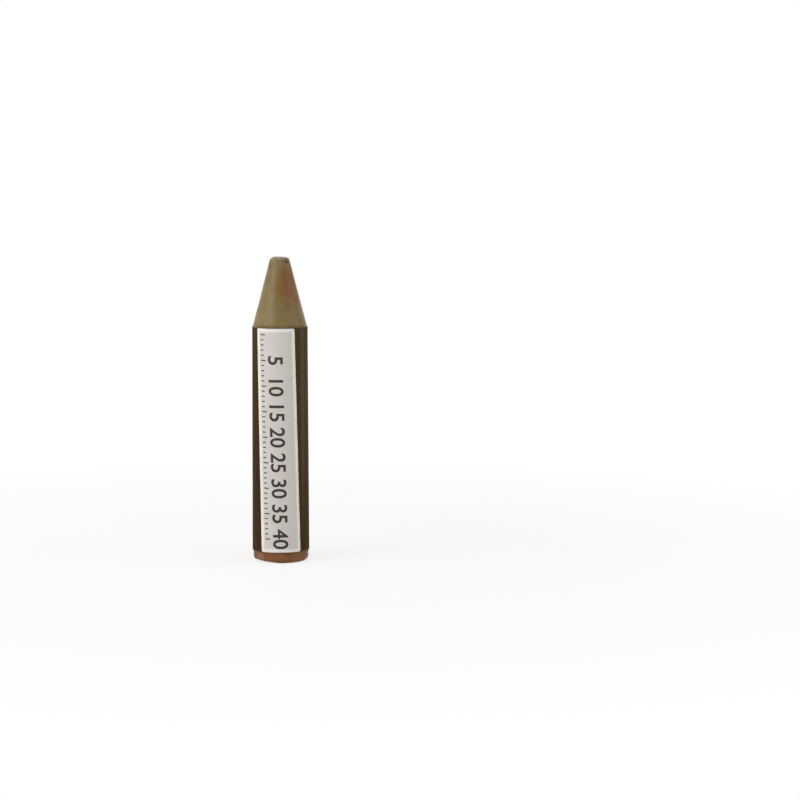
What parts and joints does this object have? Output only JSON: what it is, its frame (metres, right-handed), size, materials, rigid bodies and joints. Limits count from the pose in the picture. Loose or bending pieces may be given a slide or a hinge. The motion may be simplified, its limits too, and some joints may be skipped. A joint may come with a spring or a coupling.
{
  "type": "furniture wax filler stick",
  "caption": "Round wax filler stick with a conical blunt tip, a wound and glued paper wrapper and a white front label, rubbed into scratches in furniture to fill and colour them.",
  "frame": {"origin": "centre of the flat wax base on which the stick stands", "axes": "+Z along the stick towards its tip, -Y out of the front label, +X to the right as the label is looked at, wrapper lap at +Y"},
  "size_m": [0.0112, 0.0115, 0.06],
  "materials": {
    "wax": "satin coloured wax",
    "dark_paper": "dark brown printed paper with a satin varnish",
    "dried_glue": "dried paper glue",
    "white_paper": "coated white label paper"
  },
  "bodies": {
    "root": {"wax_stick": "wax", "wrapper": "dark_paper", "lap_glue": "dried_glue", "front_label": "white_paper"}
  },
  "joints": []
}
